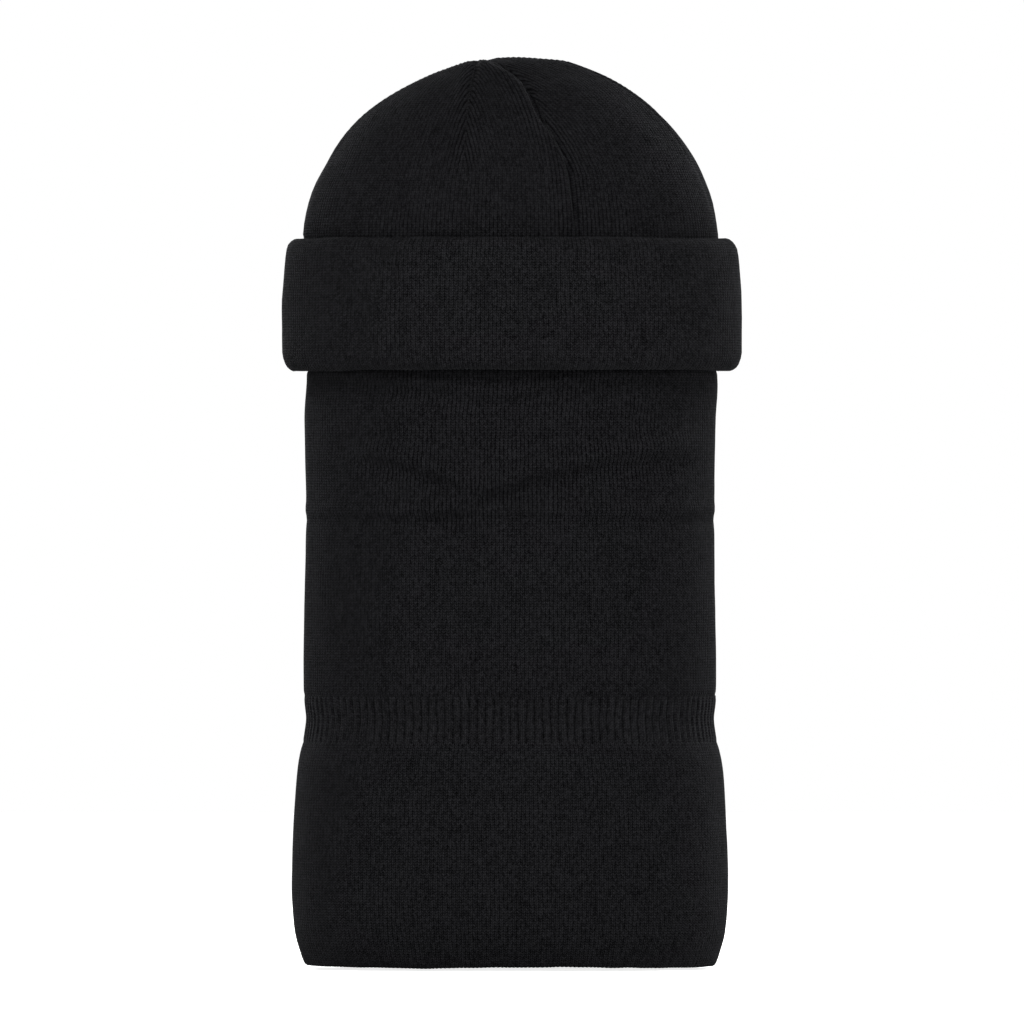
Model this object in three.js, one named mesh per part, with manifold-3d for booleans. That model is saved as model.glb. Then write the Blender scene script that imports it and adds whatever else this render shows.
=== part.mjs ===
// A knitted winter balaclava: a double-layer beanie with a turned-up cuff, and a long neck tube
// joined inside it. The front of the tube is loose, so it pulls down from the face.
// Millimetres, +Z up through the crown, the wearer faces -Y, origin at the cuff's lower fold.
import * as THREE from "three";
import { mergeVertices } from "three/addons/utils/BufferGeometryUtils.js";
import Module from "manifold-3d";

const wasm = await Module();
wasm.setup();

// Driving dimensions. Every level's half-width runs along X; its half-depth is worked out from it.
const HAT_HALF_WIDTH = 105;
const HAT_HALF_DEPTH = 66;
const WIDTH_OVER_DEPTH = HAT_HALF_WIDTH - HAT_HALF_DEPTH;
const CROWN_BASE_Z = 60;
const CROWN_HEIGHT = 101.5;
const SHELL_PLY = 2.3;
const LINING_PLY = 2;
const PLY_GAP = 0.4;
const MEET_GAP = 0.3; // left between two pieces that touch
const DART_TIP_ANGLE = 24; // degrees up the crown where the darts end
const DARTS_MEET_X = -16; // the darts meet a little to one side of the crown's top
const GATHER_RADIUS = 5.5; // of the hole at the lobes' points, which the gathering stitches fill
const DART_SEAM_WIDTH = 1.8;
// Each dart's name, its azimuth in degrees, and the lobe that lies anticlockwise of it.
const DARTS = [
  ["front_left", 261, "front"],
  ["front_right", 306, "right_front"],
  ["right", 350, "right_back"],
  ["back_right", 66, "back"],
  ["back_left", 112, "left_back"],
  ["left", 183, "left_front"],
];

const CUFF_HEIGHT = 68;
const CUFF_PLY = 3;
const CUFF_OUTER_HALF_WIDTH = 117;
const CUFF_FOLD_RADIUS = 5;
const LOWER_FOLD_HALF_WIDTH = 112; // middle of the lower fold's roll
const HAT_HEM_Z = 6; // where the hat's plies meet the cuff's lower fold

const NECK_PLY = 2.2;
const TUCK_HALF_WIDTH = 100; // the tube's top, tucked inside the lining
const TUBE_HALF_WIDTH = 104.4;
const FACE_RIM_Z = 22;
const JOIN_Z = 30;
const EDGE_BAND_HEIGHT = 4;

const RIB_TOP_Z = -164;
const RIB_BOTTOM_Z = -188;
const RIB_WAIST_HALF_WIDTH = 103.4;
const RIB_PLY = 2.8;
const SKIRT_FULL_HALF_WIDTH = 111;
const SKIRT_FULL_Z = -260;
const HEM_TOP_Z = -294;
const HEM_BOTTOM_Z = -302;
const HEM_TOP_HALF_WIDTH = 106.4;
const HEM_BOTTOM_HALF_WIDTH = 103.7;
const HEM_THICKNESS = 3;

const AROUND = 40; // facets round every sleeve
const OVAL_POWER = 2.5; // 2 is an ellipse; more is squarer
const REACH = 400; // longer than the whole balaclava, for cutting blocks

const knit = (color, roughness) => new THREE.MeshStandardMaterial({ color, roughness, metalness: 0 });
const SHELL_KNIT = knit(0x18181a, 0.95);
const CUFF_KNIT = knit(0x1c1c1e, 0.95);
const LINING_KNIT = knit(0x161618, 0.95);
const RIB_KNIT = knit(0x141416, 0.95);
const THREAD = knit(0x101012, 0.8);
const LABEL_SATIN = knit(0x2a2a2c, 0.6);

const balaclava = new THREE.Group();

function add(name, geometry, material) {
  const mesh = new THREE.Mesh(geometry, material);
  mesh.name = name;
  balaclava.add(mesh);
}

const radians = THREE.MathUtils.degToRad;
const level = (a, z) => [a, a - WIDTH_OVER_DEPTH, z];
const oval = (unit) => Math.sign(unit) * Math.abs(unit) ** (2 / OVAL_POWER);

// A closed sleeve of oval section. The profile is a closed loop of [half-width, half-depth, z].
function sleeve(profile) {
  const loop = [...profile, profile[0]];
  const lathe = new THREE.LatheGeometry(loop.map(([a, , z]) => new THREE.Vector2(a, z)), AROUND);
  const position = lathe.getAttribute("position");
  for (let i = 0; i < position.count; i += 1) {
    const [a, b, z] = loop[i % loop.length];
    const turn = (2 * Math.PI * Math.floor(i / loop.length)) / AROUND;
    position.setXYZ(i, a * oval(Math.cos(turn)), b * oval(Math.sin(turn)), z);
  }
  return bare(lathe);
}

// Fabric of one thickness whose outer face runs through the levels, listed from the bottom up.
function ply(levels, thickness) {
  const inner = levels.map(([a, b, z]) => [a - thickness, b - thickness, z]);
  return sleeve([...inner.reverse(), ...levels]);
}

function solid(geometry) {
  const vertProperties = Float32Array.from(geometry.getAttribute("position").array);
  const triVerts = Uint32Array.from(geometry.index.array);
  return new wasm.Manifold(new wasm.Mesh({ numProp: 3, vertProperties, triVerts }));
}

function geometryOf(manifold) {
  const { vertProperties, triVerts } = manifold.getMesh();
  const geometry = new THREE.BufferGeometry();
  geometry.setAttribute("position", new THREE.BufferAttribute(vertProperties, 3));
  geometry.setIndex(new THREE.BufferAttribute(triVerts, 1));
  return geometry;
}

// Only positions are left, shared by the faces round them, and the slivers at a pole are dropped.
function bare(geometry) {
  geometry.deleteAttribute("normal");
  geometry.deleteAttribute("uv");
  const merged = mergeVertices(geometry, 1e-3);
  const corners = Array.from(merged.index.array);
  const faces = [];
  for (let i = 0; i < corners.length; i += 3) {
    const [a, b, c] = corners.slice(i, i + 3);
    if (a !== b && b !== c && c !== a) faces.push(a, b, c);
  }
  merged.setIndex(faces);
  return merged;
}

// side -1 keeps the front of a sleeve, +1 keeps its back.
function half(geometry, side) {
  const block = new THREE.BoxGeometry(REACH, REACH, 2 * REACH);
  block.translate(0, side * (REACH / 2 + MEET_GAP / 2), 0);
  return geometryOf(solid(geometry).intersect(solid(bare(block))));
}

// The crown is half an ellipsoid; inset is how far its face lies inside the outer one.
function crownLevel(angle, inset) {
  const along = Math.cos(radians(angle));
  return [
    (HAT_HALF_WIDTH - inset) * along,
    (HAT_HALF_DEPTH - inset) * along,
    CROWN_BASE_Z + (CROWN_HEIGHT - inset) * Math.sin(radians(angle)),
  ];
}

function crownPly(from, to, steps, inset, thickness) {
  const face = (depth) => Array.from({ length: steps + 1 }, (_, i) => (
    crownLevel(from + ((to - from) * i) / steps, depth)
  ));
  return sleeve([...face(inset + thickness).reverse(), ...face(inset)]);
}

// The part of the crown between two darts, as a tall wedge with its point where the darts meet.
function wedge(fromDegrees, toDegrees) {
  const turn = (toDegrees - fromDegrees + 360) % 360;
  const middle = radians(fromDegrees + turn / 2);
  const back = (DART_SEAM_WIDTH / 2 + MEET_GAP) / Math.sin(radians(turn / 2));
  const outline = new THREE.Shape([new THREE.Vector2(0, 0)]
    .concat([0, 0.5, 1].map((part) => {
      const angle = radians(fromDegrees + turn * part);
      return new THREE.Vector2(REACH * Math.cos(angle), REACH * Math.sin(angle));
    })));
  const block = new THREE.ExtrudeGeometry(outline, { depth: REACH, bevelEnabled: false });
  block.translate(DARTS_MEET_X + back * Math.cos(middle), back * Math.sin(middle), 0);
  return solid(bare(block));
}

// A thin upright plate along one dart, from just off the gathered point outwards.
function dartPlate(degrees) {
  const block = new THREE.BoxGeometry(REACH, DART_SEAM_WIDTH, REACH);
  block.translate(GATHER_RADIUS + DART_SEAM_WIDTH + REACH / 2, 0, REACH / 2);
  block.rotateZ(radians(degrees));
  block.translate(DARTS_MEET_X, 0, 0);
  return solid(bare(block));
}

// An upright round bar where the darts meet.
function gatherBar(radius, from, to) {
  const bar = new THREE.CylinderGeometry(radius, radius, to - from, AROUND / 2);
  bar.rotateX(Math.PI / 2);
  bar.translate(DARTS_MEET_X, 0, (from + to) / 2);
  return bare(bar);
}

function addCrown() {
  const lobesStart = DART_TIP_ANGLE + 0.2;
  const top = CROWN_BASE_Z + CROWN_HEIGHT;
  const dome = solid(crownPly(lobesStart, 90, 8, 0, SHELL_PLY));
  const darted = dome.subtract(solid(gatherBar(GATHER_RADIUS, 0, REACH)));
  DARTS.forEach(([dart, azimuth, lobe], i) => {
    const nextAzimuth = DARTS[(i + 1) % DARTS.length][1];
    add(`crown_lobe_${lobe}`, geometryOf(darted.intersect(wedge(azimuth, nextAzimuth))), SHELL_KNIT);
    add(`dart_seam_${dart}`, geometryOf(darted.intersect(dartPlate(azimuth))), THREAD);
  });
  add("hat_shell_upper", crownPly(0, DART_TIP_ANGLE, 3, 0, SHELL_PLY), SHELL_KNIT);
  add("crown_gather", gatherBar(GATHER_RADIUS - MEET_GAP, top - 2.8, top - 0.8), THREAD);
}

function addHatBody() {
  const shellTop = CROWN_BASE_Z - MEET_GAP;
  const liningInset = SHELL_PLY + PLY_GAP;
  const shell = [level(HAT_HALF_WIDTH, HAT_HEM_Z), level(HAT_HALF_WIDTH, shellTop)];
  const liningHalfWidth = HAT_HALF_WIDTH - liningInset;
  const lining = [level(liningHalfWidth, HAT_HEM_Z), level(liningHalfWidth, shellTop)];
  add("hat_shell_lower", ply(shell, SHELL_PLY), SHELL_KNIT);
  add("hat_lining_lower", ply(lining, LINING_PLY), LINING_KNIT);
  add("hat_lining_crown", crownPly(0, 90, 7, liningInset, LINING_PLY), LINING_KNIT);
}

// A half-round roll of fabric of oval section; up is 1 for the cuff's top edge, -1 for its lower fold.
function roll(middle, radius, thickness, endZ, up) {
  const arc = (r) => [0, 60, 120, 180].map((angle) => level(
    middle + r * Math.cos(radians(angle)),
    endZ + up * r * Math.sin(radians(angle)),
  ));
  const loop = [...arc(radius), ...arc(radius - thickness).reverse()];
  return sleeve(up > 0 ? loop : loop.reverse());
}

function addCuff() {
  const outerTop = CUFF_HEIGHT - CUFF_FOLD_RADIUS;
  const plies = CUFF_PLY * 2 + PLY_GAP;
  const bottom = CUFF_FOLD_RADIUS + 1;
  const outer = [
    level(CUFF_OUTER_HALF_WIDTH, bottom + MEET_GAP),
    level(CUFF_OUTER_HALF_WIDTH, CUFF_HEIGHT / 2),
    level(CUFF_OUTER_HALF_WIDTH - 2, outerTop - MEET_GAP),
  ];
  const inner = outer.map(([a, b, z]) => [a - CUFF_PLY - PLY_GAP, b - CUFF_PLY - PLY_GAP, z]);
  const topRadius = plies / 2;
  add("cuff_outer_ply", ply(outer, CUFF_PLY), CUFF_KNIT);
  add("cuff_inner_ply", ply(inner, CUFF_PLY), CUFF_KNIT);
  add("cuff_top_fold", roll(CUFF_OUTER_HALF_WIDTH - 2 - topRadius, topRadius, 2.6, outerTop, 1), CUFF_KNIT);
  add("cuff_lower_fold", roll(LOWER_FOLD_HALF_WIDTH, CUFF_FOLD_RADIUS, 3, CUFF_FOLD_RADIUS, -1), CUFF_KNIT);
}

const edgeBand = (z) => [level(TUCK_HALF_WIDTH, z), level(TUCK_HALF_WIDTH, z + EDGE_BAND_HEIGHT)];

function addNeckTube() {
  const below = [
    level(TUBE_HALF_WIDTH, RIB_TOP_Z + MEET_GAP),
    level(TUBE_HALF_WIDTH - 0.6, -75),
    level(TUBE_HALF_WIDTH + 0.2, -16),
    level(TUBE_HALF_WIDTH - 0.6, -5),
    level(TUCK_HALF_WIDTH, 2),
  ];
  const front = [...below, level(TUCK_HALF_WIDTH, FACE_RIM_Z - MEET_GAP)];
  const back = [...below, level(TUCK_HALF_WIDTH, JOIN_Z - MEET_GAP)];
  add("neck_front_upper", half(ply(front, NECK_PLY), -1), SHELL_KNIT);
  add("neck_back_upper", half(ply(back, NECK_PLY), 1), SHELL_KNIT);
  add("face_rim", half(ply(edgeBand(FACE_RIM_Z), NECK_PLY + 0.6), -1), RIB_KNIT);
  add("join_seam", half(ply(edgeBand(JOIN_Z), NECK_PLY + 0.6), 1), THREAD);
}

function addRibBand() {
  const levels = [
    level(TUBE_HALF_WIDTH, RIB_BOTTOM_Z),
    level(RIB_WAIST_HALF_WIDTH, (RIB_TOP_Z + RIB_BOTTOM_Z) / 2),
    level(TUBE_HALF_WIDTH, RIB_TOP_Z),
  ];
  add("rib_band", ply(levels, RIB_PLY), RIB_KNIT);
}

function addSkirt() {
  const levels = [
    level(HEM_TOP_HALF_WIDTH, HEM_TOP_Z + MEET_GAP),
    level(SKIRT_FULL_HALF_WIDTH - 1.4, -283),
    level(SKIRT_FULL_HALF_WIDTH, SKIRT_FULL_Z),
    level(SKIRT_FULL_HALF_WIDTH - 1, -228),
    level(SKIRT_FULL_HALF_WIDTH - 3, -202),
    level(TUBE_HALF_WIDTH, RIB_BOTTOM_Z - MEET_GAP),
  ];
  add("skirt", ply(levels, NECK_PLY), SHELL_KNIT);
}

function addHem() {
  const corner = 1.2;
  const levels = [
    level(HEM_BOTTOM_HALF_WIDTH - corner, HEM_BOTTOM_Z),
    level(HEM_BOTTOM_HALF_WIDTH, HEM_BOTTOM_Z + corner),
    level(HEM_TOP_HALF_WIDTH, HEM_TOP_Z),
  ];
  add("hem", ply(levels, HEM_THICKNESS), SHELL_KNIT);
}

// A blank woven tag that hangs inside the back of the hat.
function addCareLabel() {
  const [width, thickness, height] = [30, 0.7, 24];
  const liningFace = HAT_HALF_DEPTH - SHELL_PLY - PLY_GAP - LINING_PLY;
  const label = new THREE.BoxGeometry(width, thickness, height);
  label.translate(0, liningFace - 1.2, JOIN_Z + EDGE_BAND_HEIGHT + 2 + height / 2);
  add("care_label", label, LABEL_SATIN);
}

addCrown();
addHatBody();
addCuff();
addNeckTube();
addRibBand();
addSkirt();
addHem();
addCareLabel();

export default balaclava;
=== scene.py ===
"""A knitted balaclava: lined beanie with a turned-up cuff, and a long ribbed neck tube joined inside it."""

import math

import bmesh
import bpy
import numpy as np
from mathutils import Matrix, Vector


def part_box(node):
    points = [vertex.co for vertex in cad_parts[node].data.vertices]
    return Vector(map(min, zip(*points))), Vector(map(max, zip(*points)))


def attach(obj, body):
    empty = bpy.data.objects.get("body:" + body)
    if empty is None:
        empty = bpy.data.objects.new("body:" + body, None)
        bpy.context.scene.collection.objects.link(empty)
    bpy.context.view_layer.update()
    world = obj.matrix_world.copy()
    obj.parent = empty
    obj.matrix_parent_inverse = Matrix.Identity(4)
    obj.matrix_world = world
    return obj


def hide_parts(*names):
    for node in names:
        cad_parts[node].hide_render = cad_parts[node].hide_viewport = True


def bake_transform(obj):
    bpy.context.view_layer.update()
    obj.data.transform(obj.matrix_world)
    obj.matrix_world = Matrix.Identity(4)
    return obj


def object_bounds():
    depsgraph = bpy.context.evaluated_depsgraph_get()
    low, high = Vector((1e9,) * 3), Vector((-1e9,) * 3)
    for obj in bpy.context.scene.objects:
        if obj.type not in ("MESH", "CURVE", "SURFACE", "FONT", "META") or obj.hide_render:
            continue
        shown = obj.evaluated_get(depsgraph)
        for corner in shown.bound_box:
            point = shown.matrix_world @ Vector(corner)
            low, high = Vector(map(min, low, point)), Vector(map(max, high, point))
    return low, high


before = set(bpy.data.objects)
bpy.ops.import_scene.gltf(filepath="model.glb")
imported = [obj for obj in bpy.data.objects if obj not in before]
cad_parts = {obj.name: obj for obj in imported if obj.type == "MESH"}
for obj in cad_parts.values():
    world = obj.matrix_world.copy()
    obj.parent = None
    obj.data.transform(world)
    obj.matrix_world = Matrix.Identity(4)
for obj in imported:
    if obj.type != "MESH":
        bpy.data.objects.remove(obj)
cad_low, cad_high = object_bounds()

MM = 0.001
POWER = 2.5  # of the oval section: 2 is an ellipse, more is squarer
WALES = 270  # upright columns of stitches round the hat, the tube and the skirt
CUFF_WALES = 288
COLUMNS_PER_WALE = 4  # columns of the grid that shape one wale
COURSE = 1.35 * MM  # height of one row of stitches
PLY = 2.0 * MM  # thickness of the cuff, the tube, the rib band and the skirt
SHELL_PLY = 1.2 * MM
LINING_PLY = 1.6 * MM
LABEL_PLY = 0.3 * MM
LINING_INSET = 2.9 * MM  # from the face of the shell in to the face of the lining
WALE_DEPTH = 0.34 * MM
LINING_WALE_DEPTH = 0.2 * MM
WALE_WANDER = 0.22  # how far a wale strays to the side, in wales
WANDER_LENGTH = 13 * MM  # how far up it runs before it strays back
SEAM_GAP = 0.02 * MM  # edges nearer than this are one seam
CUFF_ROOM = 1.5 * MM  # the tube's front is sunk by this where the cuff slides over its wrinkles
TUBE_ASIDE = -1.0 * MM  # the tube and the skirt hang a little to the left, seen from the front

# ---------------------------------------------------------------- sizes, from the frame

hat_low, hat_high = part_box("hat_shell_upper")
HALF_WIDTH, HALF_DEPTH, CROWN_BASE = hat_high.x, hat_high.y, hat_low.z
DART_TIP = hat_high.z
LOBES = ["front", "right_front", "right_back", "back", "left_back", "left_front"]
DARTS = ["front_left", "front_right", "right", "back_right", "back_left", "left"]
CROWN_TOP = max(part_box(f"crown_lobe_{lobe}")[1].z for lobe in LOBES)
CROWN_HEIGHT = CROWN_TOP - CROWN_BASE
gather_low, gather_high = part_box("crown_gather")
DARTS_MEET_X = (gather_low.x + gather_high.x) / 2
CUFF_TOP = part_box("cuff_top_fold")[1].z
CUFF_HALF_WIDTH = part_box("cuff_outer_ply")[1].x
HAT_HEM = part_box("hat_shell_lower")[0].z
RIM_LOW, RIM_HIGH = (corner.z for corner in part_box("face_rim"))
JOIN_LOW, JOIN_HIGH = (corner.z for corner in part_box("join_seam"))
TUCK_HALF_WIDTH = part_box("join_seam")[1].x
rib_low, rib_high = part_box("rib_band")
skirt_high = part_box("skirt")[1]
hem_low, hem_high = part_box("hem")
TUBE_HALF_WIDTH = rib_high.x
RIB_WAIST = TUBE_HALF_WIDTH - 1.0 * MM

# ---------------------------------------------------------------- the oval section


def signed_power(value):
    return np.sign(value) * np.abs(value) ** (2 / POWER)


def even_spacing():
    """Angles round the oval against the share of its girth, starting at the back."""
    steps = 14400
    angle = np.linspace(0, 2 * math.pi, steps + 1) + math.pi / 2
    x = HALF_WIDTH * signed_power(np.cos(angle))
    y = HALF_DEPTH * signed_power(np.sin(angle))
    length = np.concatenate([[0], np.cumsum(np.hypot(np.diff(x), np.diff(y)))])
    return length / length[-1], angle, length[-1]


SHARES, ANGLES, GIRTH = even_spacing()


def oval(share):
    """Unit point on the section at a share of the girth: 0 back, 0.25 left, 0.5 front, 0.75 right."""
    turn = np.floor(share)
    angle = np.interp(share - turn, SHARES, ANGLES)
    return signed_power(np.cos(angle)), signed_power(np.sin(angle))


def share_at(x, y):
    """Share of the girth where the ray from the axis through (x, y) meets the unit oval."""
    across = np.sign(x) * (abs(x) / HALF_WIDTH) ** (POWER / 2)
    along = np.sign(y) * (abs(y) / HALF_DEPTH) ** (POWER / 2)
    angle = math.atan2(along, across)
    return float(np.interp((angle - math.pi / 2) % (2 * math.pi) + math.pi / 2, ANGLES, SHARES))


# ---------------------------------------------------------------- soft shapes


def smooth(low, high, value):
    t = np.clip((value - low) / (high - low), 0, 1)
    return t * t * (3 - 2 * t)


def bell(distance, width):
    return np.exp(-((distance / width) ** 2))


def drift(share, across, up, seed):
    """Smooth random values from -1 to 1: so many swells round the girth, and one for each step of up."""
    steps = 64  # of up, after which the values come round again
    lattice = np.random.default_rng(seed).uniform(-1, 1, (across, steps))
    x = share * across
    column, row = np.floor(x).astype(int), np.floor(up).astype(int)
    fx, fy = x - column, up - row
    fx, fy = fx * fx * (3 - 2 * fx), fy * fy * (3 - 2 * fy)

    def corner(i, j):
        return lattice[(column + i) % across, (row + j) % steps]

    low = corner(0, 0) * (1 - fx) + corner(1, 0) * fx
    high = corner(0, 1) * (1 - fx) + corner(1, 1) * fx
    return low * (1 - fy) + high * fy


def smooth_path(points):
    """A smooth line through the points, with so many short steps from each to the next."""
    steps_between = 16
    knots = np.array(points, float)
    padded = np.vstack([2 * knots[0] - knots[1], knots, 2 * knots[-1] - knots[-2]])
    steps = np.linspace(0, 1, steps_between, endpoint=False)[:, None]
    pieces = []
    for a, b, c, d in zip(padded, padded[1:], padded[2:], padded[3:]):
        bend = 2 * a - 5 * b + 4 * c - d
        twist = 3 * b - a - 3 * c + d
        pieces.append(0.5 * (2 * b + (c - a) * steps + bend * steps**2 + twist * steps**3))
    return np.vstack(pieces + [knots[-1:]])


class Outline:
    """A smooth outline through [half-width, z] points, whose rows are closer where it bends."""

    ROWS_PER_BEND = 8 * MM  # a bend of one radian gets as many rows as this length of straight cloth

    def __init__(self, points):
        self.path = smooth_path(points)
        step = np.diff(self.path, axis=0)
        lengths = np.hypot(*step.T)
        heading = np.unwrap(np.arctan2(step[:, 1], step[:, 0]))
        turning = np.abs(np.diff(heading, prepend=heading[0]))
        effort = np.concatenate([[0], np.cumsum(lengths + self.ROWS_PER_BEND * turning)])
        self.shares = effort / effort[-1]
        self.run = np.concatenate([[0], np.cumsum(lengths)])

    def point(self, up):
        return (np.interp(up, self.shares, self.path[:, axis]) for axis in (0, 1))

    def courses(self, up):
        return np.interp(up, self.shares, self.run) / COURSE


# ---------------------------------------------------------------- cloth


def cloth_mesh(name, columns, rows, shape, wales, courses, start=0.0, end=1.0, groove_shade_mask=None):
    """A flat grid laid along the wales and courses, then moved to its place by shape(share, up)."""
    bm = bmesh.new()
    bm.loops.layers.uv.new("knit")
    bmesh.ops.create_grid(bm, x_segments=columns, y_segments=rows, size=0.5, calc_uvs=True)
    mesh = bpy.data.meshes.new(name)
    bm.to_mesh(mesh)
    bm.free()
    flat = np.zeros(len(mesh.vertices) * 3)
    mesh.vertices.foreach_get("co", flat)
    flat = flat.reshape(-1, 3)
    share = start + (end - start) * (flat[:, 0] + 0.5)
    points = shape(share, flat[:, 1] + 0.5)
    mesh.vertices.foreach_set("co", points.ravel())
    # The 'open' attribute holds how much deeper the painted shade between the wales is drawn at each point.
    spread = mesh.attributes.new("open", "FLOAT", "POINT")
    spread.data.foreach_set("value", groove_shade_mask(points) if groove_shade_mask else np.zeros(len(points)))
    uv = np.zeros(len(mesh.loops) * 2)
    layer = mesh.uv_layers["knit"]
    layer.data.foreach_get("uv", uv)
    uv = uv.reshape(-1, 2)
    uv[:, 0] = (start + (end - start) * uv[:, 0]) * wales
    uv[:, 1] = courses(uv[:, 1])
    layer.data.foreach_set("uv", uv.ravel())
    return mesh


def linked(name, data):
    """An object in the scene that holds the mesh, light or camera."""
    holder = bpy.data.objects.new(name, data)
    bpy.context.scene.collection.objects.link(holder)
    return holder


def joined(name, meshes):
    """One object from several cloth meshes, welded where their edges meet; open edges shade sharply."""
    bm = bmesh.new()
    for mesh in meshes:
        bm.from_mesh(mesh)
        bpy.data.meshes.remove(mesh)
    rim = [vert for vert in bm.verts if vert.is_boundary]
    bmesh.ops.remove_doubles(bm, verts=rim, dist=SEAM_GAP)
    for face in bm.faces:
        face.smooth = True
    for edge in bm.edges:
        edge.smooth = not edge.is_boundary
    mesh = bpy.data.meshes.new(name)
    bm.to_mesh(mesh)
    bm.free()
    return linked(name, mesh)


def closed_roll(name, mesh):
    """One object from a grid that was rolled up: its long edges are sewn and its open ends are filled."""
    bm = bmesh.new()
    bm.from_mesh(mesh)
    bmesh.ops.remove_doubles(bm, verts=bm.verts[:], dist=SEAM_GAP / 2)
    bmesh.ops.holes_fill(bm, edges=[edge for edge in bm.edges if edge.is_boundary], sides=0)
    bmesh.ops.recalc_face_normals(bm, faces=bm.faces[:])
    bm.to_mesh(mesh)
    bm.free()
    return joined(name, [mesh])


def thicken(piece, thickness):
    """Gives a sheet its thickness, inwards from the face it was made on."""
    solidify = piece.modifiers.new("thickness", "SOLIDIFY")
    solidify.thickness = thickness
    solidify.offset = -1
    return piece


def raised(place, relief):
    """Turns a plain surface and a height over it into a shape whose wales wander a little sideways."""
    def shape(share, up):
        step = 1e-4
        level = place(share, up)[:, 2] / WANDER_LENGTH
        aside = share + WALE_WANDER / WALES * drift(share, 120, level, seed=81)
        across = place(aside + step, up) - place(aside - step, up)
        above = place(aside, np.minimum(up + step, 1)) - place(aside, np.maximum(up - step, 0))
        normal = np.cross(across, above)
        normal /= np.linalg.norm(normal, axis=1)[:, None]
        base = place(aside, up)
        return base + normal * relief(share, up, base)[:, None]
    return shape


def sleeve_place(outline):
    """Points round the oval on an outline; the depth keeps the walls as thick as at the sides."""
    def place(share, up):
        half_width, z = outline.point(up)
        x, y = oval(share)
        half_depth = half_width - (HALF_WIDTH - HALF_DEPTH)
        hang = TUBE_ASIDE * smooth(-4 * MM, -24 * MM, z)
        return np.column_stack([half_width * x + hang, half_depth * y, z])
    return place


def girth_at(half_width):
    return GIRTH + 2 * math.pi * (half_width - HALF_WIDTH)


def wale_ridges(share, wales, depth):
    """Upright rounded ridges, one for each wale, each a little fuller or thinner than the next."""
    wale = share * wales
    fullness = 1 + 0.25 * drift(share, wales, wale * 0, seed=11)
    return depth * fullness * (0.5 * np.cos(2 * math.pi * wale) - 0.5)


def unevenness(share, z, size, seed):
    """The slack of hand-straightened knit: broad swells with smaller ones on them."""
    broad = drift(share, 22, z / (34 * MM), seed)
    small = drift(share, 64, z / (12 * MM), seed + 1)
    return size * (0.6 * broad + 0.4 * small)


def put(piece, body, slot, material, *nodes):
    piece.data.materials.append(material)
    if nodes:
        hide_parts(*nodes)
    if body:
        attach(piece, body)
    return piece


# ---------------------------------------------------------------- knit materials

STITCH_SLANT = 0.62  # how far the outer end of a stitch's leg stands above its foot, in courses
STITCH_DEPTH = 0.3 * MM
FUZZ_SCALE = 2600.0  # swells to the metre: loose fibres
GRAIN_SCALE = 1200.0  # thick and thin stretches of yarn
PATCH_SCALE = 55.0  # places where the painted shade between the wales is deeper and the tone a little different
WOVEN_SCALE = 900.0
YARN_SHINE = 0.01
SHEEN = 0.03
SHEEN_TINT = (0.85, 0.87, 0.92, 1.0)
DARKEST_SHADE = 0.12


def wire(tree, kind, inputs=(), **settings):
    node = tree.nodes.new(kind)
    for key, value in settings.items():
        setattr(node, key, value)
    for index, value in enumerate(inputs):
        if value is None:
            continue
        if isinstance(value, bpy.types.NodeSocket):
            tree.links.new(value, node.inputs[index])
        else:
            node.inputs[index].default_value = value
    return node


def maths(tree, operation, *inputs):
    return wire(tree, "ShaderNodeMath", inputs, operation=operation).outputs[0]


def noise(tree, place, scale, detail, roughness):
    return wire(tree, "ShaderNodeTexNoise", [place, None, scale, detail, roughness]).outputs["Fac"]


def blank_material(name):
    """A new material with its node tree, its shader and the place on the object that is shaded."""
    material = bpy.data.materials.new(name)
    material.use_nodes = True
    tree = material.node_tree
    place = wire(tree, "ShaderNodeTexCoord").outputs["Object"]
    return material, tree, tree.nodes["Principled BSDF"], place


def tint(tree, shader, colour, shade):
    """Gives the shader the colour, darker or paler by the shade."""
    shaded = wire(tree, "ShaderNodeVectorMath", [colour], operation="SCALE")
    tree.links.new(shade, shaded.inputs["Scale"])
    tree.links.new(shaded.outputs[0], shader.inputs["Base Color"])


def stitch_height(tree, wale, course):
    """Rows of small V stitches: two slanting legs in each wale, with a groove between the wales."""
    side = maths(tree, "ABSOLUTE", maths(tree, "SUBTRACT", maths(tree, "FRACT", wale), 0.5))
    leg = maths(tree, "MULTIPLY", side, 2.0)
    across = maths(tree, "SINE", maths(tree, "MULTIPLY", leg, math.pi))
    row = maths(tree, "ADD", course, maths(tree, "MULTIPLY", leg, STITCH_SLANT))
    along = maths(tree, "SINE", maths(tree, "MULTIPLY", maths(tree, "FRACT", row), math.pi))
    height = maths(tree, "MULTIPLY", maths(tree, "POWER", across, 0.6), maths(tree, "POWER", along, 0.8))
    return height, row


def groove_shade_wave(tree, wale, ribbed):
    """Painted shade between the wales: highest on a wale, lowest between two; the ribs are broad with narrow
    furrows, and two wales apart.
    """
    wave = maths(tree, "COSINE", maths(tree, "MULTIPLY", wale, math.pi if ribbed else 2 * math.pi))
    if not ribbed:
        return wave
    return maths(tree, "MINIMUM", maths(tree, "MULTIPLY_ADD", wave, 1.7, 0.75), 0.6)


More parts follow.
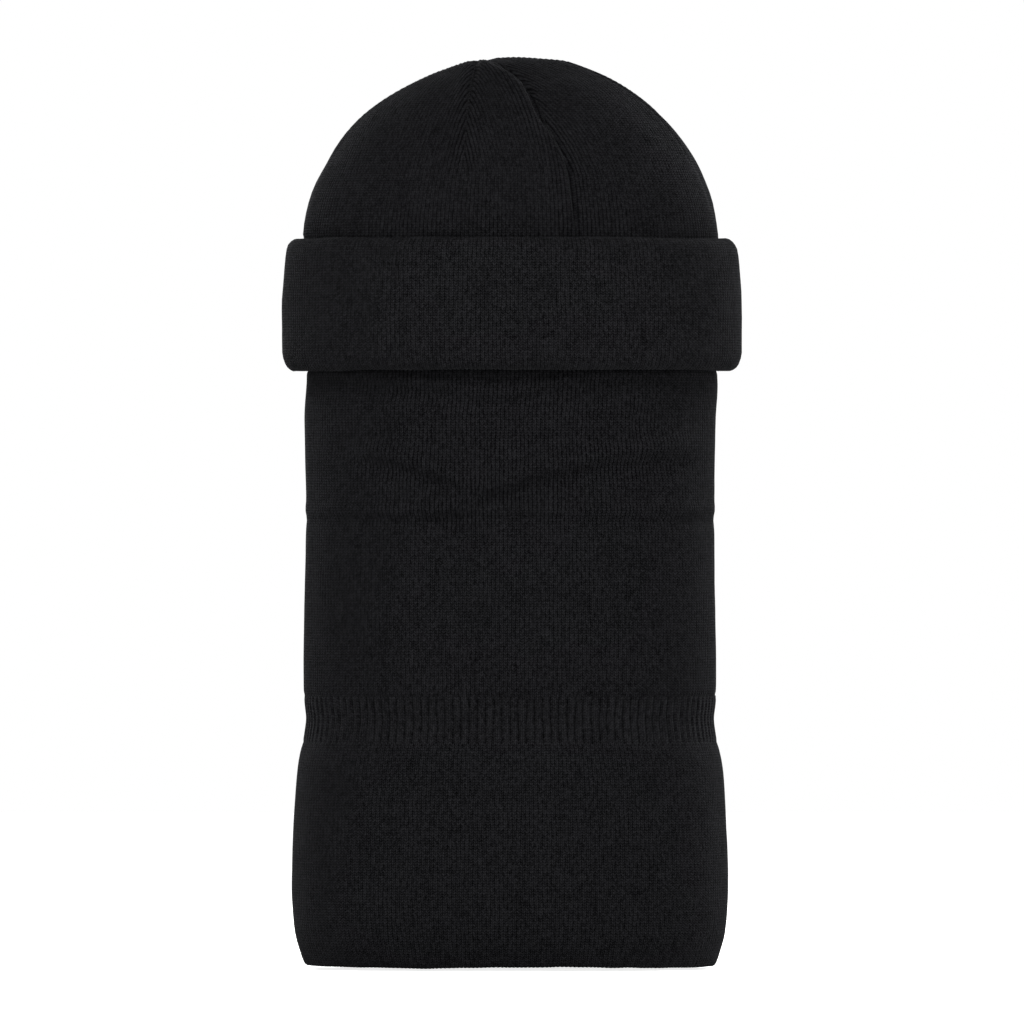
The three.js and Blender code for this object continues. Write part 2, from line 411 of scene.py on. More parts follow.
def knit_material(name, colour, groove=0.12, ribbed=False):
    """Fine yarn in V stitches, with painted shade in the stitches' hollows and between the wales; each leg
    and stretch of yarn a little different.
    """
    material, tree, shader, place = blank_material(name)
    uv = wire(tree, "ShaderNodeUVMap", uv_map="knit").outputs[0]
    axes = wire(tree, "ShaderNodeSeparateXYZ", [uv]).outputs
    wale, course = axes[0], axes[1]
    height, row = stitch_height(tree, wale, course)
    wave = groove_shade_wave(tree, wale, ribbed)
    fuzz = noise(tree, place, FUZZ_SCALE, 2.0, 0.6)
    grain = noise(tree, place, GRAIN_SCALE, 2.0, 0.65)
    patch = noise(tree, place, PATCH_SCALE, 2.0, 0.5)
    half_wale = maths(tree, "FLOOR", maths(tree, "MULTIPLY", wale, 2.0))
    cell = wire(tree, "ShaderNodeCombineXYZ", [half_wale, maths(tree, "FLOOR", row), 0.0]).outputs[0]
    leg = wire(tree, "ShaderNodeTexWhiteNoise", [cell], noise_dimensions="2D").outputs["Value"]
    strength = maths(tree, "MAXIMUM", maths(tree, "MULTIPLY_ADD", patch, 4.0, -1.0), 0.2)
    # Painted shade on the stitches: the colour is paler on their raised legs and darker in the hollows
    # between them.
    shade = maths(tree, "MULTIPLY_ADD", height, 1.1, 0.36)
    # Painted shade between the wales, deeper where the mesh's 'open' attribute and the patches ask for it.
    groove_shade_mask = wire(tree, "ShaderNodeAttribute", attribute_name="open").outputs["Fac"]
    groove_shade_depth = maths(tree, "MULTIPLY_ADD", groove_shade_mask, 0.4, maths(tree, "MULTIPLY", strength, groove))
    shade = maths(tree, "ADD", shade, maths(tree, "MULTIPLY", wave, groove_shade_depth))
    for unevenly, share in ((leg, 0.7), (fuzz, 0.8), (grain, 2.4), (patch, 0.3)):
        shade = maths(tree, "ADD", shade, maths(tree, "MULTIPLY_ADD", unevenly, share, -0.5 * share))
    tint(tree, shader, colour, maths(tree, "MAXIMUM", shade, DARKEST_SHADE))
    rough = maths(tree, "MULTIPLY_ADD", fuzz, 0.12, 0.86)
    tree.links.new(rough, shader.inputs["Roughness"])
    relief = maths(tree, "ADD", height, maths(tree, "MULTIPLY", grain, 0.9))
    bump = wire(tree, "ShaderNodeBump")
    bump.inputs["Strength"].default_value = 1.0
    bump.inputs["Distance"].default_value = STITCH_DEPTH
    tree.links.new(relief, bump.inputs["Height"])
    tree.links.new(bump.outputs[0], shader.inputs["Normal"])
    shader.inputs["Specular IOR Level"].default_value = YARN_SHINE
    shader.inputs["Sheen Weight"].default_value = SHEEN
    shader.inputs["Sheen Roughness"].default_value = 0.25
    shader.inputs["Sheen Tint"].default_value = SHEEN_TINT
    return material


def plain_material(name, colour, roughness):
    """A smooth woven or painted face with a faint grain."""
    material, tree, shader, place = blank_material(name)
    grain = noise(tree, place, WOVEN_SCALE, 3.0, 0.6)
    tint(tree, shader, colour, maths(tree, "MULTIPLY_ADD", grain, 0.5, 0.75))
    shader.inputs["Roughness"].default_value = roughness
    return material


# Each groove sets how deep the painted shade between the wales is.
SHELL_KNIT = knit_material("shell_knit", (0.0076, 0.0076, 0.0084))
CUFF_KNIT = knit_material("cuff_knit", (0.0082, 0.0082, 0.0090), groove=0.14)
LINING_KNIT = knit_material("lining_knit", (0.0072, 0.0072, 0.0080))
RIB_KNIT = knit_material("rib_knit", (0.0080, 0.0080, 0.0088), groove=0.2, ribbed=True)
THREAD = knit_material("linking_thread", (0.0066, 0.0066, 0.0072), groove=0.3)
LABEL_SATIN = plain_material("label_satin", (0.030, 0.030, 0.032), 0.5)

# ---------------------------------------------------------------- hat

DART_AZIMUTHS = [261, 304, 350, 66, 112, 183]  # degrees round the crown: 0 is the right, 270 the front
LOBE_AZIMUTHS = [299, 327, 28, 89, 147, 236]  # the way down the wales of each lobe
TIP_ANGLE = math.asin((DART_TIP - CROWN_BASE) / CROWN_HEIGHT)
TIP_SCALE = math.cos(TIP_ANGLE)  # girth of the ring at the darts' tips, against the hat's
MEET = np.array([DARTS_MEET_X, 0.0])
KNOT_DIMPLE = 0.6 * MM
KNOT_RADIUS = 5 * MM
CROSSING = 118 * MM  # height at which the deep fold crosses the front right dart


def dome_point(x, y):
    """Height of the crown over (x, y), from the squared share of the way out from its axis."""
    out = (np.abs(x / HALF_WIDTH) ** POWER + np.abs(y / HALF_DEPTH) ** POWER) ** (2 / POWER)
    return CROWN_BASE + CROWN_HEIGHT * np.sqrt(np.clip(1 - out, 0, 1))


def dome_normal(points):
    """Outward directions on the crown; below its base they are level."""
    x, y, z = points.T
    side = np.abs(x / HALF_WIDTH) ** POWER + np.abs(y / HALF_DEPTH) ** POWER + 1e-9
    spread = side ** (2 / POWER - 1)
    normal = np.column_stack([
        spread * np.abs(x / HALF_WIDTH) ** (POWER - 1) * np.sign(x) / HALF_WIDTH,
        spread * np.abs(y / HALF_DEPTH) ** (POWER - 1) * np.sign(y) / HALF_DEPTH,
        np.maximum(z - CROWN_BASE, 0) / CROWN_HEIGHT**2,
    ])
    return normal / np.linalg.norm(normal, axis=1)[:, None]


def dart_shares():
    """Where each dart starts on the ring at the darts' tips, moved to the nearest wale of the cloth."""
    shares = []
    reach = np.linspace(0, 200 * MM, 4001)[:, None]
    for azimuth in DART_AZIMUTHS:
        ray = MEET + reach * heading(azimuth)
        ring = np.abs(ray[:, 0] / HALF_WIDTH) ** POWER + np.abs(ray[:, 1] / HALF_DEPTH) ** POWER
        x, y = ray[np.searchsorted(ring ** (1 / POWER), TIP_SCALE)]
        shares.append(round(share_at(x / TIP_SCALE, y / TIP_SCALE) * WALES) / WALES)
    return shares


def heading(azimuth):
    return np.array([math.cos(math.radians(azimuth)), math.sin(math.radians(azimuth))])


def ring_point(share):
    x, y = oval(np.asarray(share, float))
    return np.column_stack([HALF_WIDTH * TIP_SCALE * x, HALF_DEPTH * TIP_SCALE * y])


DART_SHARES = dart_shares()
DART_RINGS = ring_point(DART_SHARES)
DART_WAYS = (DART_RINGS - MEET) / np.linalg.norm(DART_RINGS - MEET, axis=1)[:, None]


def dart_pinch(points):
    """The sewn darts: a narrow groove with the cloth puffed up on both sides, dying out at the tip."""
    height = np.zeros(len(points))
    flat = points[:, :2] - MEET
    fade = smooth(DART_TIP + 2 * MM, DART_TIP + 14 * MM, points[:, 2])
    fade *= smooth(3 * MM, 16 * MM, np.linalg.norm(flat, axis=1))
    for index, way in enumerate(DART_WAYS):
        if DARTS[index] == "front_right":
            continue
        ahead = flat @ way > -1 * MM
        aside = flat[:, 0] * way[1] - flat[:, 1] * way[0]
        groove = -1.7 * MM * bell(aside, 1.5 * MM)
        puff = 0.9 * MM * bell(np.abs(aside) - 5 * MM, 3.5 * MM)
        height += np.where(ahead, fade * (groove + puff), 0)
    return height


# The deep fold seen from the front, from the crown down: across and up, in millimetres.
FOLD_LINE = smooth_path([
    [-12, 158.5], [-3.6, 155], [4, 149.5], [8, 142.5], [13, 131], [22, 118.5], [27.5, 105], [29.5, 92.5],
    [33, 68.5], [34.5, 50],
]) * MM


def fold_aside(points):
    """How far each point lies to the right of the deep fold, seen from the front."""
    x, z = points[:, 0], points[:, 2]
    line_x, line_z = FOLD_LINE[::-1].T
    slope = np.interp(z, line_z, np.gradient(line_x, line_z))
    return (x - np.interp(z, line_z, line_x)) / np.sqrt(1 + slope**2)


def deep_fold(points):
    """The front right dart was pressed over into a fold, which runs on down under the cuff."""
    y, z = points[:, 1], points[:, 2]
    aside = fold_aside(points)
    strength = smooth(CROWN_BASE - 8 * MM, CROWN_BASE + 24 * MM, z) * smooth(0, -8 * MM, y)
    strength *= 0.3 + 0.7 * smooth(160 * MM, 150 * MM, z)
    ridge = 1.7 * MM * bell(aside + 3.4 * MM, 3.0 * MM)
    reach = 4.5 * MM + 6 * MM * smooth(DART_TIP, 140 * MM, z)
    hollow = -2.0 * MM * np.exp(-np.clip(aside, 0, None) / reach) * smooth(-0.8 * MM, 0.8 * MM, aside)
    shallower = 1 - 0.4 * bell(z - CROSSING, 10 * MM)
    cleft = -3.3 * MM * shallower * bell(aside - 0.8 * MM, 1.4 * MM)
    return strength * (ridge + hollow + cleft)


def side_fold(points):
    """A slack pleat down the right side, where the back stands out past the front."""
    x, y, z = points.T
    strength = smooth(74 * MM, 92 * MM, z) * smooth(140 * MM, 122 * MM, z) * smooth(40 * MM, 60 * MM, x)
    roll = 0.6 * MM * bell(y - 2 * MM, 9 * MM)
    dip = 0.8 * MM * bell(y + 14 * MM, 4.5 * MM)
    return strength * (roll - dip)


def hat_spread_and_groove_shade(points):
    """Where the wales stand apart, with deeper ridges and deeper painted shade between them: beside the front
    left dart, along the deep fold and above the cuff.
    """
    y, z = points[:, 1], points[:, 2]
    flat = points[:, :2] - MEET
    way = DART_WAYS[0]
    aside = flat[:, 0] * way[1] - flat[:, 1] * way[0]
    beside_dart = bell(aside, 6.5 * MM) * smooth(DART_TIP, DART_TIP + 8 * MM, z)
    beside_fold = bell(fold_aside(points), 9 * MM) * smooth(CROWN_BASE, CROWN_BASE + 20 * MM, z)
    above_cuff = 0.35 * smooth(CUFF_TOP + 26 * MM, CUFF_TOP + 6 * MM, z)
    return above_cuff + np.where(y < 0, 0.9 * beside_dart + 0.7 * beside_fold, 0)


def slack(points):
    """Worn-in shape: a flat top, a low left shoulder, and fullness above the cuff."""
    x, z = points[:, 0], points[:, 2]
    left = smooth(-12 * MM, -34 * MM, x)
    top = -1.6 * MM * smooth(CROWN_TOP - 4 * MM, CROWN_TOP, z)
    shoulder = -2.1 * MM * left * smooth(126 * MM, 150 * MM, z)
    above_cuff = smooth(CUFF_TOP - 3 * MM, CUFF_TOP + 6 * MM, z) * smooth(118 * MM, 88 * MM, z)
    return top + shoulder + above_cuff * (0.2 + 1.9 * left) * MM


def hat_folds(points, pinch=1.0):
    """Height of the folds, darts and dimple that the shell and the lining share."""
    folds = pinch * dart_pinch(points) + deep_fold(points) + side_fold(points) + slack(points)
    return folds - KNOT_DIMPLE * bell(from_knot(points), KNOT_RADIUS)


def from_knot(points):
    return np.linalg.norm(points[:, :2] - MEET, axis=1)


def shell_relief(share, points):
    ridges = wale_ridges(share, WALES, WALE_DEPTH) * (1 + hat_spread_and_groove_shade(points))
    ridges += unevenness(share, points[:, 2], 0.35 * MM, seed=21)
    return smooth(2 * MM, 14 * MM, from_knot(points)) * ridges + hat_folds(points)


def lining_relief(share, points):
    return wale_ridges(share, WALES, LINING_WALE_DEPTH) + hat_folds(points, pinch=0.6) - 0.3 * MM


def hat_body_shape(inset, relief):
    """From the hem behind the cuff up to the ring where the darts start."""
    straight, arc = CROWN_BASE - HAT_HEM, CROWN_HEIGHT * TIP_ANGLE
    bend = straight / (straight + arc)

    def shape(share, up):
        angle = TIP_ANGLE * np.clip((up - bend) / (1 - bend), 0, 1)
        x, y = oval(share)
        low = HAT_HEM + straight * np.clip(up / bend, 0, 1)
        z = np.where(up < bend, low, CROWN_BASE + CROWN_HEIGHT * np.sin(angle))
        scale = np.cos(angle)
        points = np.column_stack([HALF_WIDTH * x * scale, HALF_DEPTH * y * scale, z])
        return points + dome_normal(points) * (relief(share, points) - inset)[:, None]

    return shape, (straight + arc) / COURSE


def lobe_shape(index, inset, relief):
    """One lobe: its wales run side by side up the crown until they meet a dart."""
    first, second = DART_WAYS[index], DART_WAYS[(index + 1) % len(DARTS)]
    middle = heading(LOBE_AZIMUTHS[index])

    def shape(share, up):
        start = ring_point(share)
        local = start - MEET
        ends = []
        for way in (first, second):
            rate = middle[0] * way[1] - middle[1] * way[0]
            reach = (local[:, 0] * way[1] - local[:, 1] * way[0]) / rate
            ends.append(np.where(reach > -1e-9, reach, 1.0))
        travel = np.minimum(*ends) * (1 - np.cos(up * math.pi / 2))
        flat = start - middle * travel[:, None]
        points = np.column_stack([flat, dome_point(flat[:, 0], flat[:, 1])])
        return points + dome_normal(points) * (relief(share, points) - inset)[:, None]

    return shape


def follow_height(mesh, courses):
    """Sets the rows of stitches on a lobe by how far up the crown each point is."""
    radius = 88 * MM  # of the crown's arc, as its rows are counted
    points = np.zeros(len(mesh.vertices) * 3)
    mesh.vertices.foreach_get("co", points)
    rise = np.clip((points[2::3] - CROWN_BASE) / CROWN_HEIGHT, 0, 1)
    course = courses + (np.arcsin(rise) - TIP_ANGLE) * radius / COURSE
    corner = np.zeros(len(mesh.loops), int)
    mesh.loops.foreach_get("vertex_index", corner)
    uv = np.zeros(len(mesh.loops) * 2)
    mesh.uv_layers["knit"].data.foreach_get("uv", uv)
    uv[1::2] = course[corner]
    mesh.uv_layers["knit"].data.foreach_set("uv", uv)


def hat_layer(name, inset, relief, per_wale, body_rows, lobe_rows, groove_shade_mask=None):
    """A layer knitted as one tube up to the tips of the darts and as six lobes from there."""
    columns = WALES * per_wale
    shape, courses = hat_body_shape(inset, relief)
    meshes = [cloth_mesh(name, columns, body_rows, shape, WALES, lambda up: up * courses, groove_shade_mask=groove_shade_mask)]
    for index in range(len(DARTS)):
        start = DART_SHARES[index]
        end = DART_SHARES[(index + 1) % len(DARTS)]
        end += 1 if end < start else 0
        count = round((end - start) * columns)
        lobe = lobe_shape(index, inset, relief)
        mesh = cloth_mesh(name, count, lobe_rows, lobe, WALES, np.copy, start, end, groove_shade_mask)
        follow_height(mesh, courses)
        meshes.append(mesh)
    return joined(name, meshes)


def make_hat():
    """The shell and the lining; their hem is hidden behind the cuff."""
    shell = hat_layer("hat_shell_knit", 0, shell_relief, COLUMNS_PER_WALE, 18, 18, hat_spread_and_groove_shade)
    thicken(shell, SHELL_PLY)
    lobes = [f"crown_lobe_{lobe}" for lobe in LOBES]
    put(shell, None, "shell_knit", SHELL_KNIT, "hat_shell_lower", "hat_shell_upper", *lobes)

    lining = hat_layer("hat_lining_knit", LINING_INSET, lining_relief, 2, 12, 10)
    thicken(lining, LINING_PLY)
    put(lining, None, "lining_knit", LINING_KNIT, "hat_lining_lower", "hat_lining_crown")

    for piece, inset in ((shell, 0), (lining, LINING_INSET)):
        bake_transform(piece)


# ---------------------------------------------------------------- cuff


def make_cuff():
    """The turned-up brim: from inside the lower fold, up the outer ply, over the top and down inside."""
    wide = CUFF_HALF_WIDTH - 0.3 * MM
    inner = HALF_WIDTH + 1.4 * MM
    top = CUFF_TOP + 2.4 * MM
    outline = Outline([
        [inner + 2.6 * MM, 7.5 * MM], [inner + 2.4 * MM, 4.4 * MM], [inner + 3.4 * MM, 1.9 * MM],
        [wide - 5.6 * MM, 0.9 * MM], [wide - 2.6 * MM, 2.9 * MM], [wide - 0.7 * MM, 7 * MM], [wide, 13 * MM],
        [wide, 35 * MM], [wide - 0.8 * MM, 48 * MM], [wide - 1.9 * MM, top - 8.5 * MM],
        [wide - 2.9 * MM, top - 3.6 * MM], [wide - 5.0 * MM, top - 0.9 * MM], [wide - 7.2 * MM, top],
        [inner + 1.3 * MM, top - 1.4 * MM], [inner + 0.5 * MM, top - 5 * MM], [inner, 50 * MM],
        [inner, 30 * MM], [inner + 0.2 * MM, 9 * MM],
    ])

    def relief(share, up, base):
        outside = smooth(0.82, 0.7, up)
        ridges = wale_ridges(share, CUFF_WALES, WALE_DEPTH)
        wave = 0.4 * MM * drift(share, 26, up * 3, seed=31)
        along = base[:, 2] + up * 300 * MM  # so that the two plies are not uneven alike
        return ridges + outside * (wave + unevenness(share, along, 0.4 * MM, seed=33))

    columns = CUFF_WALES * COLUMNS_PER_WALE
    shape = raised(sleeve_place(outline), relief)
    mesh = cloth_mesh("cuff_knit", columns, 42, shape, CUFF_WALES, outline.courses)
    cuff = thicken(joined("cuff_knit", [mesh]), PLY)
    put(cuff, "cuff", "cuff_knit", CUFF_KNIT,
        "cuff_outer_ply", "cuff_inner_ply", "cuff_top_fold", "cuff_lower_fold")


# ---------------------------------------------------------------- neck tube


def crease(x, z, line, width, height):
    """A fold along a line in millimetres: a bulge above it, a dip below it, fading out at both ends."""
    along, level = (smooth_path(line) * MM).T
    share = (x - along[0]) / (along[-1] - along[0])
    ends = smooth(0, 0.22, share) * smooth(1, 0.78, share)
    aside = z - np.interp(x, along, level)
    width *= MM
    bulge = bell(aside - 0.8 * width, width)
    dip = 0.9 * bell(aside + 0.8 * width, width)
    return height * MM * ends * (bulge - dip)


CREASE_LIFT = 1.5  # how much fuller the folds stand than the heights listed here

# Each fold: its line as (across, up) seen from the front, its width and its height, in millimetres.
FRONT_CREASES = [
    ([(-84, -2), (-67, -4), (-34, -9), (-16, -13), (4, -12), (24, -7), (44, -3), (64, -1)], 4.6, 1.9),
    ([(-100, -21), (-40, -25), (30, -22), (90, -20)], 7.0, 0.6),
    ([(-54, -76), (-24, -67), (-6, -59.5), (14, -53), (35, -48), (55, -44), (75, -42), (110, -39)], 5.8, 2.5),
    ([(-86, -41), (-67, -44), (-52, -48), (-34, -55), (-8, -60)], 4.6, 2.1),
    ([(-36, -34), (10, -31), (60, -28)], 7.0, 0.6),
    ([(-160, -71), (-60, -72.5), (0, -71.5), (60, -72.5), (160, -71)], 3.2, 1.5),
    ([(-30, -84), (0, -86), (50, -83)], 6.0, 0.5),
]


def tube_wrinkles(points):
    """Slack under the cuff and the flat crease of packing, softer behind and at the sides."""
    x, y, z = points.T
    height = sum(crease(x, z, *fold) for fold in FRONT_CREASES)
    front = 0.7 - 0.3 * y / HALF_DEPTH
    sides = 1 - 0.7 * smooth(84 * MM, 103 * MM, np.abs(x))
    return CREASE_LIFT * height * front * sides


def tube_groove_shade(points):
    """Painted shade between the wales, deeper in the slack part under the cuff and most of all in its folds.
    """
    slack_part = 0.25 * smooth(-84 * MM, -62 * MM, points[:, 2])
    return slack_part + 0.22 * np.clip(np.abs(tube_wrinkles(points)) / MM, 0, 2)


def tube_top(share):
    """The tube's top edge: the loose rim in front is a little lower than the joined back."""
    behind = smooth(-0.25, 0.25, oval(share)[1])
    return RIM_LOW + (JOIN_LOW - RIM_LOW) * behind


# The tube below the cuff and where it is tucked up inside: how much wider, and how high, in millimetres.
TUBE_SIDE = [(0.6, -157), (0, -120), (-0.7, -75), (-0.2, -40), (0.2, -16), (0, -4), (-0.2, 0)]
TUCK_SIDE = [(2.6, 2.6), (0.6, 4.8), (0, 9)]


def neck_blend(piece):
    """Moves the piece's placing into the points of its mesh."""
    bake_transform(piece)


def make_neck_tube():
    """The long tube, knitted as a front and a back that meet at the sides."""
    outline = Outline([
        [TUBE_HALF_WIDTH, rib_high.z],
        *([TUBE_HALF_WIDTH + wider * MM, z * MM] for wider, z in TUBE_SIDE),
        *([TUCK_HALF_WIDTH + wider * MM, z * MM] for wider, z in TUCK_SIDE),
        [TUCK_HALF_WIDTH, RIM_LOW],
    ])

    def place(share, up):
        points = sleeve_place(outline)(share, up)
        lift = smooth(4 * MM, RIM_LOW, points[:, 2])
        points[:, 2] += lift * (tube_top(share) - RIM_LOW)
        return points

    def relief(share, up, base):
        z = base[:, 2]
        below_cuff = 1 - smooth(-6 * MM, 0, z)
        uneven = unevenness(share, z, 0.4 * MM, seed=41)
        front = smooth(0, -0.8 * HALF_DEPTH, base[:, 1])
        sunk = CUFF_ROOM * front * smooth(-44 * MM, -32 * MM, z)
        ridges = wale_ridges(share, WALES, 0.8 * WALE_DEPTH)
        return ridges + below_cuff * (uneven + tube_wrinkles(base) - sunk)

    columns = WALES * COLUMNS_PER_WALE // 2
    shape = raised(place, relief)
    for side, start in (("front", 0.25), ("back", -0.25)):
        name = f"neck_{side}_knit"
        end = start + 0.5
        mesh = cloth_mesh(name, columns, 86, shape, WALES, outline.courses, start, end, tube_groove_shade)
        panel = thicken(joined(name, [mesh]), PLY)
        put(panel, None, "shell_knit", SHELL_KNIT, f"neck_{side}_upper")
        neck_blend(panel)


def edge_roll(name, low, high, start, end):
    """A rolled edge of cloth round part of the tube's top."""
    middle, radius = (low + high) / 2, (high - low) / 2
    spread = 1.5 * MM

    def shape(share, up):
        turn = up * 2 * math.pi
        x, y = oval(share)
        pitch = 1 + 0.12 * np.cos(share * WALES * 2 * math.pi)
        half_width = TUCK_HALF_WIDTH - spread + spread * 0.95 * np.cos(turn) * pitch
        half_depth = half_width - (HALF_WIDTH - HALF_DEPTH)
        return np.column_stack([half_width * x, half_depth * y, middle + radius * np.sin(turn) * pitch])

    columns = round((end - start) * WALES * COLUMNS_PER_WALE)
    return closed_roll(name, cloth_mesh(name, columns, 12, shape, WALES, lambda up: up * 6, start, end))


def make_face_rim():
    rim = edge_roll("face_rim_roll", RIM_LOW, RIM_HIGH, 0.25, 0.75)
    put(rim, None, "rib_knit", RIB_KNIT, "face_rim")
    neck_blend(rim)


def make_join_seam():
    seam = edge_roll("join_seam_linking", JOIN_LOW, JOIN_HIGH, -0.25, 0.25)
    put(seam, "hat", "thread", THREAD, "join_seam")


# ---------------------------------------------------------------- rib band, skirt and hem


def make_rib_band():
    """One rib for every two wales, drawn in a little at its waist."""
    low, high = rib_low.z, rib_high.z
    middle = (low + high) / 2
    outline = Outline([
        [TUBE_HALF_WIDTH + 0.7 * MM, low], [TUBE_HALF_WIDTH, low + 4 * MM], [RIB_WAIST, middle],
        [TUBE_HALF_WIDTH - 0.3 * MM, high - 5 * MM], [TUBE_HALF_WIDTH + 0.1 * MM, high],
    ])

    def relief(share, up, base):
        rib = 0.5 + 0.5 * np.cos(math.pi * share * WALES)
        full = smooth(0.06, 0.5, rib)
        ends = smooth(0, 0.06, up) * smooth(1, 0.94, up)
        return ends * (0.9 * MM * full - 0.6 * MM) + unevenness(share, base[:, 2], 0.2 * MM, seed=51)

    columns = WALES * COLUMNS_PER_WALE
    shape = raised(sleeve_place(outline), relief)
    mesh = cloth_mesh("rib_band_knit", columns, 12, shape, WALES, outline.courses)
    band = thicken(joined("rib_band_knit", [mesh]), PLY)
    put(band, "hat", "rib_knit", RIB_KNIT, "rib_band")


# The skirt from the hem up: how far in from its fullest girth, and how high, in millimetres.
SKIRT_SIDE = [(1.5, -284.3), (0.3, -270), (0, -256), (0.4, -240), (1.3, -222), (2.7, -203), (4.4, -193)]


def make_skirt():
    """The flared skirt; its last rows turn under as a hem and run back up inside."""
    full, wide, low = skirt_high.x, hem_high.x, hem_low.z
    outline = Outline([
        [wide - 4.6 * MM, hem_high.z + 3 * MM],
        [wide - 5.6 * MM, low + 6 * MM],
        [wide - 6.0 * MM, low + 2.4 * MM],
        [wide - 4.8 * MM, low + 0.3 * MM],
        [wide - 2.6 * MM, low + 0.4 * MM],
        [wide - 1.2 * MM, low + 2.4 * MM],
        [wide + 0.4 * MM, hem_high.z - 0.6 * MM],
        *([full - inwards * MM, z * MM] for inwards, z in SKIRT_SIDE),
        [TUBE_HALF_WIDTH + 0.7 * MM, rib_low.z],
    ])

    def place(share, up):
        points = sleeve_place(outline)(share, up)
        z = points[:, 2].copy()
        points[:, 1] *= 1 + 0.05 * smooth(low + 60 * MM, low, z)
        wavy = 0.5 * MM * (1 + drift(share, 14, up * 0, seed=71))
        points[:, 2] += wavy * smooth(low + 12 * MM, low, z)
        return points

    def relief(share, up, base):
        uneven = unevenness(share, base[:, 2], 0.4 * MM, seed=61)
        return wale_ridges(share, WALES, 0.6 * WALE_DEPTH) + uneven

    columns = WALES * COLUMNS_PER_WALE
    mesh = cloth_mesh("skirt_knit", columns, 44, raised(place, relief), WALES, outline.courses)
    skirt = thicken(joined("skirt_knit", [mesh]), PLY)
    girth_at(full)
    put(skirt, "hat", "shell_knit", SHELL_KNIT, "skirt", "hem")


# ---------------------------------------------------------------- small pieces


def make_crown_gather():
    """Stitches drawn together where the darts meet: a flat knot of six tucks with a dimple."""
    name = "crown_gather_stitches"
    tucks = len(DARTS)
    bm = bmesh.new()
    bmesh.ops.create_uvsphere(bm, u_segments=48, v_segments=16, radius=KNOT_RADIUS)
    uv = bm.loops.layers.uv.new("knit")
    for vert in bm.verts:
        angle = math.atan2(vert.co.y, vert.co.x)
        out = math.hypot(vert.co.x, vert.co.y)
        tuck = 0.35 * MM * math.cos(tucks * angle) * min(1, out / (3 * MM))
        vert.co.z = 0.22 * vert.co.z + tuck
        vert.co.z -= 0.8 * MM * math.exp(-((out / (1.6 * MM)) ** 2))
    for face in bm.faces:
        for loop in face.loops:
            angle = math.atan2(loop.vert.co.y, loop.vert.co.x)
            loop[uv].uv = (angle * 12 / math.pi, loop.vert.co.xy.length / COURSE)
    mesh = bpy.data.meshes.new(name)
    top = dome_point(MEET[:1], MEET[1:])[0]
    top += slack(np.array([[MEET[0], MEET[1], top]]))[0] - KNOT_DIMPLE
    sunk = 0.9 * MM
    bmesh.ops.translate(bm, verts=bm.verts[:], vec=(MEET[0], MEET[1], top - sunk))
    bm.to_mesh(mesh)
    bm.free()
    mesh.shade_smooth()
    put(linked(name, mesh), "hat", "thread", THREAD, "crown_gather")


def make_dart_seam(dart, way, reach):
    """The linked seam allowance of a dart, a low ridge between shell and lining."""
    start = 6 * MM  # how far from the knot
    depth = 2.2 * MM  # of the thread's middle under the face of the shell
    stitches = 40

    def shape(share, up):
        out = start + (reach - start) * share
        turn = up * 2 * math.pi
        flat = MEET + out[:, None] * way
        points = np.column_stack([flat, dome_point(flat[:, 0], flat[:, 1])])
        normal = dome_normal(points)
        aside = np.array([-way[1], way[0], 0])
        swell = 1 + 0.2 * np.cos(share * 4 * stitches)
        beside = np.array([1.5 * MM, 0, 0])
        hollow = np.minimum(deep_fold(points - beside), deep_fold(points + beside))
        drop = depth - 0.45 * MM * swell * np.sin(turn) - hollow
        return points - normal * drop[:, None] + aside * (0.85 * MM * swell * np.cos(turn))[:, None]

    name = f"dart_seam_{dart}_thread"
    seam = closed_roll(name, cloth_mesh(name, 90, 8, shape, stitches, lambda up: up * 4))
    put(seam, "hat", "thread", THREAD, f"dart_seam_{dart}")


def make_care_label():
    """A small blank label that curls a little at its foot."""
    low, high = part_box("care_label")
    width, height, back = high.x - low.x, high.z - low.z, (low.y + high.y) / 2

    def shape(share, up):
        x = (share - 0.5) * width
        z = low.z + up * height
        curl = 1.2 * MM * (1 - up) ** 2 * np.cos(share * 5)
        return np.column_stack([x, back - 0.4 * MM - curl, z])

    mesh = cloth_mesh("care_tag", 24, 20, shape, 24, lambda up: up * 20)
    label = thicken(joined("care_tag", [mesh]), LABEL_PLY)
    put(label, "hat", "label_satin", LABEL_SATIN, "care_label")


make_hat()
make_cuff()
make_neck_tube()
make_face_rim()
make_join_seam()
make_rib_band()
make_skirt()
make_crown_gather()
for dart, way, ring in zip(DARTS, DART_WAYS, DART_RINGS):
    make_dart_seam(dart, way, float(np.linalg.norm(ring - MEET)))
make_care_label()

# ---------------------------------------------------------------- floor, light and camera

WHITE = (1.0, 1.0, 1.0, 1.0)
FLOOR_RADIUS = 6.0
FLOOR_DROP = 1 * MM  # below the hem
FLOOR_GLOW = 0.82
DAYLIGHT = 0.42
CAMERA_Z = -70.7 * MM
FRAME_SIDE = 520.7 * MM  # what the camera takes in at the object, across and up

# Each light: its place, the height on the axis that it faces, its size and its power in watts.
LIGHTS = {
    "key": ((-0.15, -1.65, 1.4), -0.07, 1.2, 42),
    "fill": ((0.5, -1.8, -0.4), -0.14, 1.4, 18),
    "right_back": ((1.3, 1.0, 0.9), -0.07, 1.2, 38),
    "left_back": ((-1.0, 1.5, 0.8), -0.07, 1.2, 38),
}


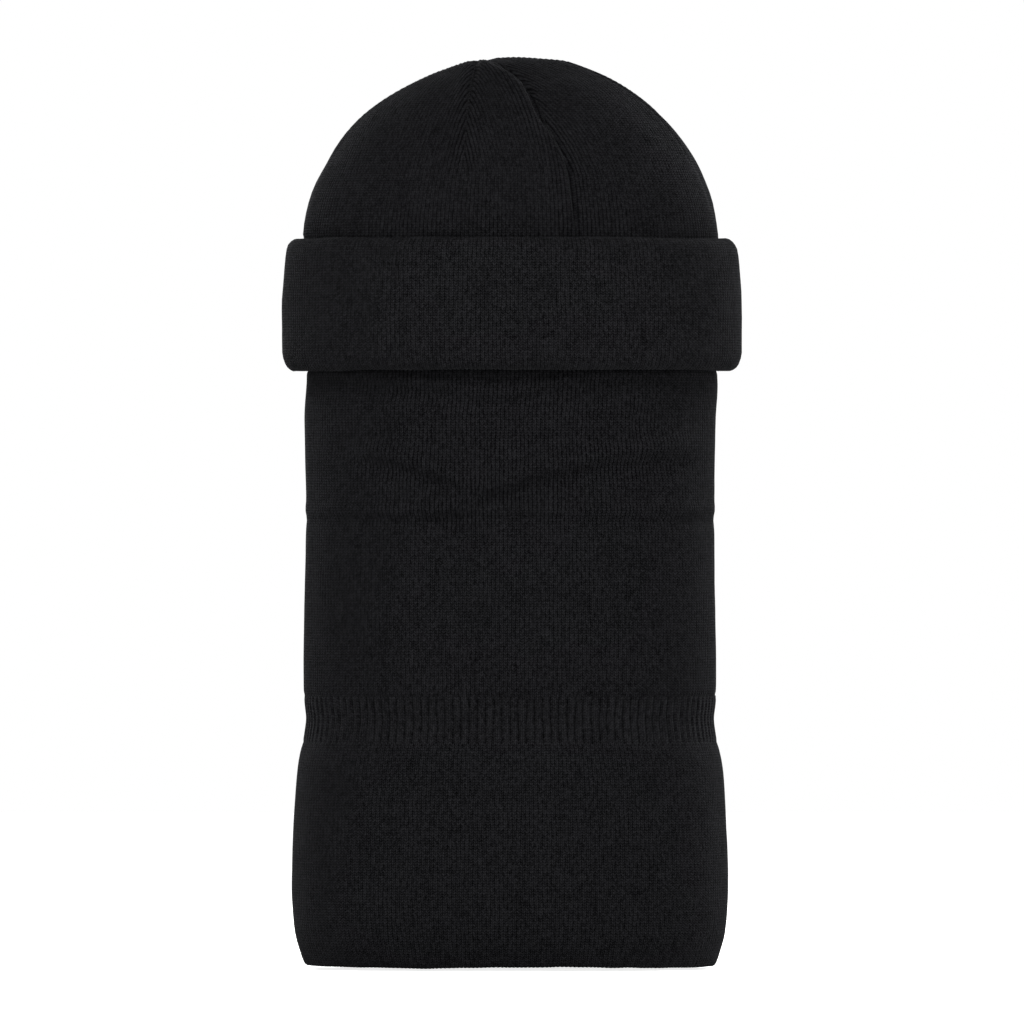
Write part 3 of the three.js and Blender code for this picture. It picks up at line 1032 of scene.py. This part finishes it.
def make_floor():
    """A pale floor that glows for the camera only, so it lights the cloth no more than paint would."""
    bm = bmesh.new()
    bmesh.ops.create_circle(bm, cap_ends=True, segments=96, radius=FLOOR_RADIUS)
    bmesh.ops.translate(bm, verts=bm.verts[:], vec=(0, 0, cad_low.z - FLOOR_DROP))
    mesh = bpy.data.meshes.new("floor")
    bm.to_mesh(mesh)
    bm.free()
    floor = linked("floor", mesh)
    pale = plain_material("pale_floor", (0.8, 0.8, 0.8), 0.9)
    tree = pale.node_tree
    shader = tree.nodes["Principled BSDF"]
    shader.inputs["Emission Color"].default_value = WHITE
    seen = wire(tree, "ShaderNodeLightPath").outputs["Is Camera Ray"]
    tree.links.new(maths(tree, "MULTIPLY", seen, FLOOR_GLOW), shader.inputs["Emission Strength"])
    floor.data.materials.append(pale)


def make_world():
    """White behind the object, and a softer white as the light on it."""
    world = bpy.data.worlds.new("studio")
    world.use_nodes = True
    tree = world.node_tree
    background = tree.nodes["Background"]
    background.inputs["Color"].default_value = WHITE
    background.inputs["Strength"].default_value = DAYLIGHT
    backdrop = wire(tree, "ShaderNodeBackground", [WHITE])
    seen = wire(tree, "ShaderNodeLightPath").outputs["Is Camera Ray"]
    mixed = wire(tree, "ShaderNodeMixShader", [seen, background.outputs[0], backdrop.outputs[0]])
    tree.links.new(mixed.outputs[0], tree.nodes["World Output"].inputs["Surface"])
    bpy.context.scene.world = world


def make_light(name, place, target_z, size, power):
    """A soft round light turned to a point on the object's axis."""
    data = bpy.data.lights.new(name, "AREA")
    data.shape = "DISK"
    data.size = size
    data.energy = power
    light = linked(name, data)
    light.location = place
    light.rotation_mode = "QUATERNION"
    light.rotation_quaternion = (Vector((0, 0, target_z)) - Vector(place)).to_track_quat("-Z", "Y")


def make_camera():
    """A long lens straight in front, about as high as the object's middle."""
    data = bpy.data.cameras.new("camera")
    data.lens = 800
    data.sensor_width = 36
    distance = FRAME_SIDE * data.lens / data.sensor_width
    data.clip_end = distance * 4
    camera = linked("camera", data)
    camera.location = (0, -distance, CAMERA_Z)
    camera.rotation_euler = (math.pi / 2, 0, 0)
    bpy.context.scene.camera = camera


make_floor()
make_world()
for name, setting in LIGHTS.items():
    make_light(name, *setting)
make_camera()
bpy.context.scene.view_settings.view_transform = "Standard"
